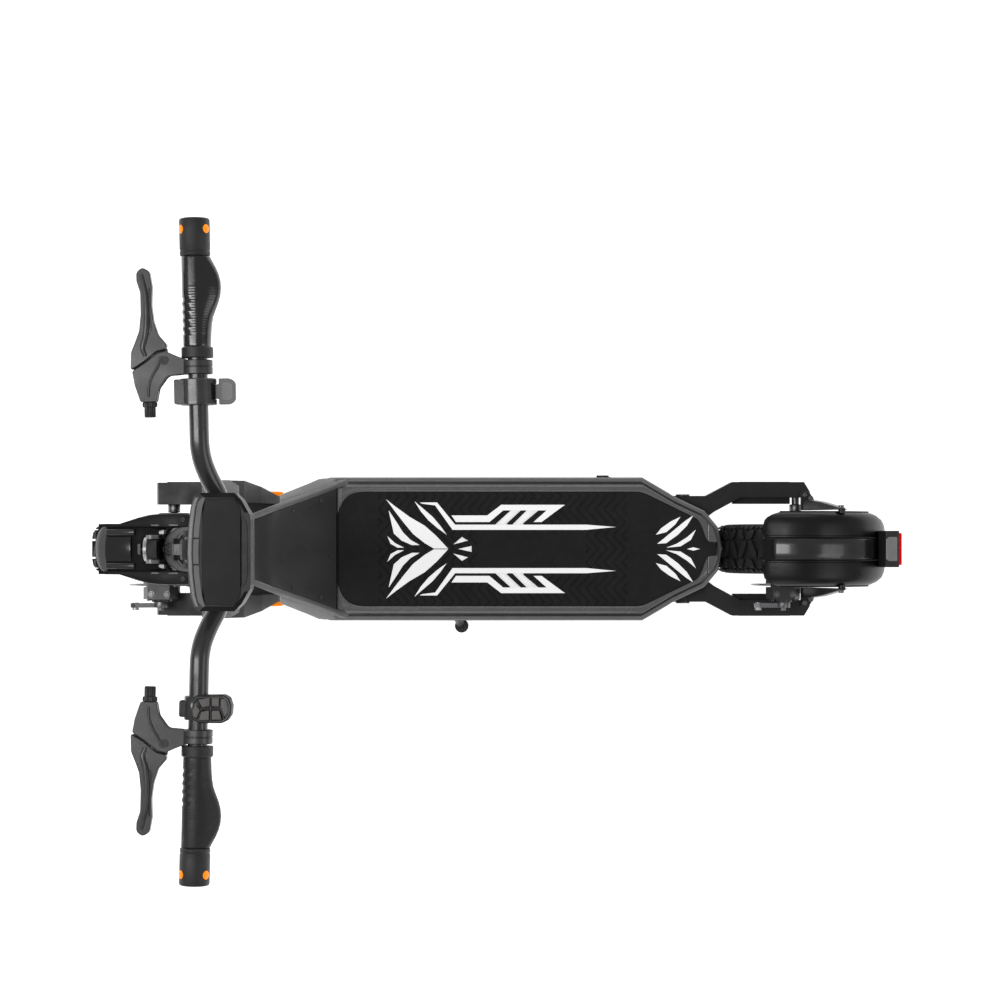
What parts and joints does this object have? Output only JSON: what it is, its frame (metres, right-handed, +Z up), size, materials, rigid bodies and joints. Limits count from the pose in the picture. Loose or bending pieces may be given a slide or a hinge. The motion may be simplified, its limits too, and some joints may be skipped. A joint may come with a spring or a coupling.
{
  "type": "electric kick scooter",
  "caption": "Electric kick scooter with folding stem, handlebar controls, wide deck, sprung leading and trailing arms, fat off-road tyres and disc brakes.",
  "frame": {"origin": "on the ground at the centre of the overall footprint", "axes": "+Z up, -X towards the front wheel, +Y towards the rider's right hand"},
  "size_m": [1.26, 0.7548, 1.188],
  "materials": {
    "frame_grey": "satin metallic paint",
    "gloss_black": "gloss",
    "mat_rubber": "matte moulded",
    "bearing_steel": "ground",
    "battery_wrap": "shrink wrap",
    "controller_case": "anodised",
    "black_steel": "satin powder coat",
    "fastener": "zinc plated",
    "lamp_clear": "polished",
    "amber": "moulded",
    "grip_rubber": "textured",
    "black_plastic": "fine texture",
    "screen": "dark glass",
    "control_alloy": "satin",
    "paddle_grey": "satin",
    "key_rubber": "satin",
    "spring_steel": "zinc plated",
    "tyre": "moulded",
    "wheel_alloy": "satin",
    "disc_steel": "ground",
    "stator_steel": "lacquered windings"
  },
  "bodies": {
    "frame": {"deck_tub": "frame_grey", "deck_rim": "frame_grey", "deck_mat": "mat_rubber", "neck_frame": "frame_grey", "neck_cover": "gloss_black", "headset_bearings": "bearing_steel", "battery_pack": "battery_wrap", "motor_controller": "controller_case", "deck_screws": "fastener", "rear_pivot_bolt": "fastener"},
    "fork": {"fork_frame": "frame_grey", "head_cover": "gloss_black", "front_fender": "gloss_black", "headlight_housing": "gloss_black", "headlight_lens": "lamp_clear", "side_reflectors": "amber", "front_pivot_bolts": "fastener", "fold_base": "black_steel", "fold_pin": "fastener"},
    "stem": {"stem_tube": "black_steel", "handlebar": "black_steel", "handle_grips": "grip_rubber", "bar_end_lamps": "black_plastic", "display_housing": "black_plastic", "display_screen": "screen", "brake_perches": "control_alloy", "lever_pivot_screws": "fastener", "throttle_body": "black_plastic", "keypad_body": "black_plastic"},
    "latch": {"fold_latch": "black_steel"},
    "lever_right": {"right_brake_lever": "control_alloy"},
    "lever_left": {"left_brake_lever": "control_alloy"},
    "throttle": {"throttle_paddle": "paddle_grey"},
    "front_arm": {"front_swing_arm": "black_steel", "front_axle": "fastener", "front_springs": "spring_steel", "front_caliper": "control_alloy"},
    "front_brake": {"front_brake_arm": "spring_steel"},
    "front_wheel": {"front_tyre": "tyre", "front_rim": "wheel_alloy", "front_brake_disc": "disc_steel"},
    "rear_arm": {"rear_swing_arm": "black_steel", "rear_axle": "fastener", "rear_springs": "spring_steel", "rear_caliper": "control_alloy", "rear_fender": "black_plastic", "tail_light": "black_plastic", "motor_stator": "stator_steel"},
    "rear_brake": {"rear_brake_arm": "spring_steel"},
    "rear_wheel": {"rear_tyre": "tyre", "motor_shell": "wheel_alloy", "rear_brake_disc": "disc_steel"},
    "stand": {"kickstand": "black_steel"},
    "charge_cap": {"charge_port_cap": "grip_rubber"},
    "key_1": {"key_1": "key_rubber"},
    "key_2": {"key_2": "key_rubber"},
    "key_3": {"key_3": "key_rubber"},
    "key_4": {"key_4": "key_rubber"},
    "key_5": {"key_5": "key_rubber"},
    "key_6": {"key_6": "key_rubber"}
  },
  "joints": [
    {"name": "steering", "type": "hinge", "parent": "frame", "child": "fork", "pos_m": [-0.423, 0, 0.45], "axis": [0.1908, 0, 0.9816], "range_deg": [-40, 40]},
    {"name": "stem_fold", "type": "hinge", "parent": "fork", "child": "stem", "pos_m": [-0.41957, 0, 0.46767], "axis": [0, 1, 0], "range_deg": [0, 82]},
    {"name": "latch_open", "type": "hinge", "parent": "fork", "child": "latch", "pos_m": [-0.45752, 0, 0.43226], "axis": [0, -1, 0], "range_deg": [0, 45]},
    {"name": "right_brake", "type": "hinge", "parent": "stem", "child": "lever_right", "pos_m": [-0.36675, 0.21621, 1.15211], "axis": [-0.0005, 0.0243, -0.9997], "range_deg": [0, 15], "stiffness_Nm_per_rad": 3, "springref_deg": -11.46},
    {"name": "left_brake", "type": "hinge", "parent": "stem", "child": "lever_left", "pos_m": [-0.36675, -0.21621, 1.15211], "axis": [0.0005, 0.0243, 0.9997], "range_deg": [0, 15], "stiffness_Nm_per_rad": 3, "springref_deg": -11.46},
    {"name": "throttle_turn", "type": "hinge", "parent": "stem", "child": "throttle", "pos_m": [-0.32903, 0.18097, 1.15124], "axis": [-0.0202, 0.9995, 0.0243], "range_deg": [0, 40], "stiffness_Nm_per_rad": 0.25, "springref_deg": -11.46},
    {"name": "front_link", "type": "hinge", "parent": "fork", "child": "front_arm", "pos_m": [-0.351, 0, 0.155], "axis": [0, 1, 0], "range_deg": [0, 8], "stiffness_Nm_per_rad": 900, "springref_deg": -8.02, "deforming": ["front_springs"]},
    {"name": "front_spin", "type": "hinge", "parent": "front_arm", "child": "front_wheel", "pos_m": [-0.502, 0, 0.128], "axis": [0, -1, 0], "continuous": true},
    {"name": "front_brake_pull", "type": "hinge", "parent": "front_arm", "child": "front_brake", "pos_m": [-0.514, -0.087, 0.19], "axis": [0, 1, 0], "range_deg": [0, 12]},
    {"name": "rear_link", "type": "hinge", "parent": "frame", "child": "rear_arm", "pos_m": [0.3, 0, 0.14], "axis": [0, -1, 0], "range_deg": [0, 6], "stiffness_Nm_per_rad": 1200, "springref_deg": -8.02, "deforming": ["rear_springs"]},
    {"name": "rear_spin", "type": "hinge", "parent": "rear_arm", "child": "rear_wheel", "pos_m": [0.479, 0, 0.128], "axis": [0, -1, 0], "continuous": true},
    {"name": "rear_brake_pull", "type": "hinge", "parent": "rear_arm", "child": "rear_brake", "pos_m": [0.452, -0.087, 0.19], "axis": [0, 1, 0], "range_deg": [0, 12]},
    {"name": "kickstand_swing", "type": "hinge", "parent": "frame", "child": "stand", "pos_m": [-0.07, -0.085, 0.105], "axis": [0, -0.9252, 0.3795], "range_deg": [0, 76]},
    {"name": "charge_cap_swing", "type": "hinge", "parent": "frame", "child": "charge_cap", "pos_m": [0.1655, 0.1134, 0.156], "axis": [0, 0, 1], "range_deg": [0, 80]},
    {"name": "key_1_press", "type": "slide", "parent": "stem", "child": "key_1", "axis": [-0.0005, -0.0243, -0.9997], "range_m": [0, 0.0012], "stiffness_N_per_m": 400, "springref_m": -0.001},
    {"name": "key_2_press", "type": "slide", "parent": "stem", "child": "key_2", "axis": [-0.0005, -0.0243, -0.9997], "range_m": [0, 0.0012], "stiffness_N_per_m": 400, "springref_m": -0.001},
    {"name": "key_3_press", "type": "slide", "parent": "stem", "child": "key_3", "axis": [-0.0005, -0.0243, -0.9997], "range_m": [0, 0.0012], "stiffness_N_per_m": 400, "springref_m": -0.001},
    {"name": "key_4_press", "type": "slide", "parent": "stem", "child": "key_4", "axis": [-0.0005, -0.0243, -0.9997], "range_m": [0, 0.0012], "stiffness_N_per_m": 400, "springref_m": -0.001},
    {"name": "key_5_press", "type": "slide", "parent": "stem", "child": "key_5", "axis": [-0.0005, -0.0243, -0.9997], "range_m": [0, 0.0012], "stiffness_N_per_m": 400, "springref_m": -0.001},
    {"name": "key_6_press", "type": "slide", "parent": "stem", "child": "key_6", "axis": [-0.0005, -0.0243, -0.9997], "range_m": [0, 0.0012], "stiffness_N_per_m": 400, "springref_m": -0.001}
  ],
  "couplings": [
    {"joint": "rear_brake_pull", "follows": "right_brake", "ratio": 0.8},
    {"joint": "front_brake_pull", "follows": "left_brake", "ratio": 0.8}
  ]
}
